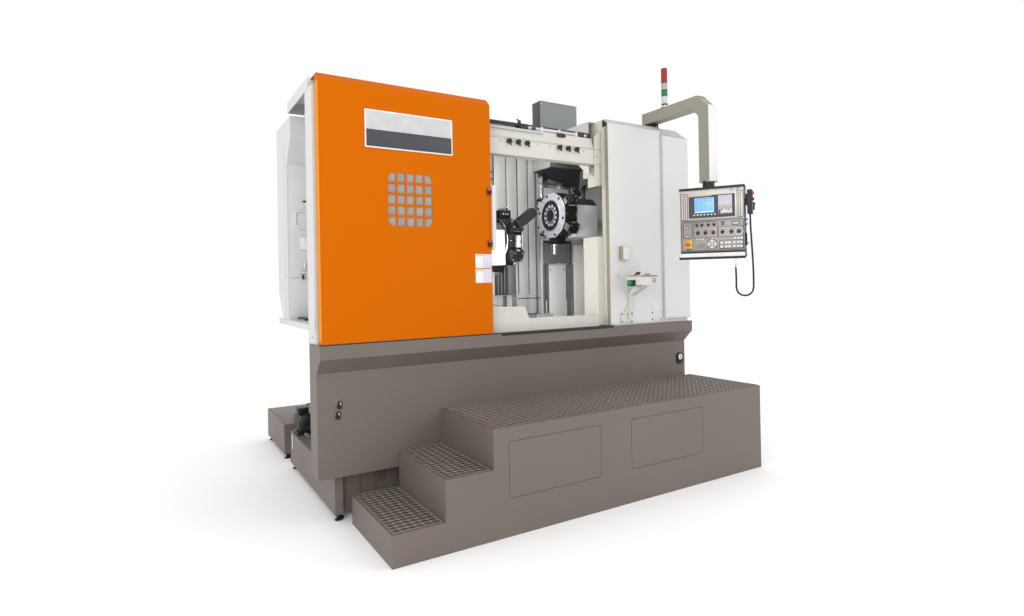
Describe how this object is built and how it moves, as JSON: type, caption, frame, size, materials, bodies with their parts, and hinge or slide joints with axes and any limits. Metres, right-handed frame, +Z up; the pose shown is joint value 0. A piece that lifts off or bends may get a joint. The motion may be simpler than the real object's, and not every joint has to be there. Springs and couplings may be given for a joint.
{
  "type": "cnc vertical lathe",
  "caption": "Vertical lathe in a full enclosure with a sliding front door, facing turret heads, stepped platform and swinging control panel.",
  "frame": {"origin": "middle of the ground that the machine covers, on the floor", "axes": "+Z up, +X to the operator's right, -Y out of the front where the operator stands"},
  "size_m": [3.491, 3.6279, 3.518],
  "materials": {
    "orange_paint": "smooth semi-gloss enamel",
    "white_paint": "fine satin enamel",
    "cream_paint": "satin enamel",
    "beige_paint": "satin enamel",
    "taupe_paint": "low-gloss enamel",
    "grey_paint": "satin enamel",
    "light_grey_paint": "satin enamel",
    "stainless_sheet": "brushed along its length",
    "ground_steel": "ground and polished",
    "black_steel": "blackened and oiled",
    "black_rail": "black anodised",
    "tread_plate": "raised pattern, worn on top",
    "black_plastic": "fine grain",
    "cable_rubber": "smooth jacket",
    "sight_glass": "grey tint",
    "sign_face": "satin plate",
    "signal_lens": "ribbed lens"
  },
  "bodies": {
    "frame": {"steps": "taupe_paint", "platform": "taupe_paint", "step_treads": "tread_plate", "access_panels": "taupe_paint", "front_skirt": "taupe_paint", "skirt_fittings": "black_plastic", "bed_casting": "taupe_paint", "machine_feet": "black_steel", "coolant_tank": "taupe_paint", "rear_chip_tank": "taupe_paint", "coolant_pump": "black_steel", "rear_housing": "white_paint", "roof_box": "grey_paint", "left_front_panel": "white_paint", "left_side_wall": "white_paint", "left_rear_cabinet": "white_paint", "roof": "white_paint", "right_front_panel": "white_paint", "right_jamb": "beige_paint", "right_cabinet": "white_paint", "right_inner_walls": "cream_paint", "chip_pan": "light_grey_paint", "sill": "cream_paint", "centre_guard": "stainless_sheet", "way_covers": "stainless_sheet", "guideways": "ground_steel", "chuck": "ground_steel", "header_beam": "cream_paint", "coolant_nozzles": "black_plastic", "door_rail": "black_rail", "bottom_rail": "black_rail", "operator_box": "cream_paint", "operator_bracket": "cream_paint", "switch_box": "cream_paint", "arm_pivot": "black_steel"},
    "door": {"door_panel": "orange_paint", "door_window": "sight_glass", "door_handle": "white_paint", "sign_plate": "sign_face"},
    "right_saddle": {"right_saddle": "grey_paint"},
    "right_head": {"right_ram": "light_grey_paint"},
    "right_turret": {"right_turret_drum": "black_steel", "right_turret_face": "ground_steel", "right_tool_holders": "black_steel"},
    "left_saddle": {"left_saddle": "grey_paint"},
    "left_head": {"left_ram": "light_grey_paint"},
    "left_turret": {"left_turret_drum": "black_steel", "left_turret_face": "ground_steel", "left_tool_holders": "black_steel"},
    "arm": {"pendant_arm": "beige_paint", "light_tower": "signal_lens"},
    "panel": {"panel_case": "black_plastic", "panel_face": "stainless_sheet", "display_unit": "black_plastic", "handwheel": "black_plastic", "handwheel_cable": "cable_rubber", "cable_sleeve": "ground_steel"}
  },
  "joints": [
    {"name": "door_slide", "type": "slide", "parent": "frame", "child": "door", "axis": [1, 0, 0], "range_m": [0, 1.185]},
    {"name": "right_head_z", "type": "slide", "parent": "frame", "child": "right_saddle", "axis": [0, 0, 1], "range_m": [-0.3, 0.1]},
    {"name": "right_head_x", "type": "slide", "parent": "right_saddle", "child": "right_head", "axis": [1, 0, 0], "range_m": [-0.15, 0.25]},
    {"name": "right_turret_index", "type": "hinge", "parent": "right_head", "child": "right_turret", "pos_m": [0.5905, -0.28, 2.228], "axis": [1, 0, 0], "continuous": true},
    {"name": "left_head_z", "type": "slide", "parent": "frame", "child": "left_saddle", "axis": [0, 0, 1], "range_m": [-0.04, 0.36]},
    {"name": "left_head_x", "type": "slide", "parent": "left_saddle", "child": "left_head", "axis": [1, 0, 0], "range_m": [-0.25, 0.15]},
    {"name": "left_turret_index", "type": "hinge", "parent": "left_head", "child": "left_turret", "pos_m": [0.1335, -0.28, 1.965], "axis": [1, 0, 0], "continuous": true},
    {"name": "arm_swing", "type": "hinge", "parent": "frame", "child": "arm", "pos_m": [1.3525, -0.84, 3.05], "axis": [0, 0, 1], "range_deg": [-45, 60]},
    {"name": "panel_swivel", "type": "hinge", "parent": "arm", "child": "panel", "pos_m": [1.3525, -1.495, 2.4], "axis": [0, 0, 1], "range_deg": [-45, 45]}
  ]
}
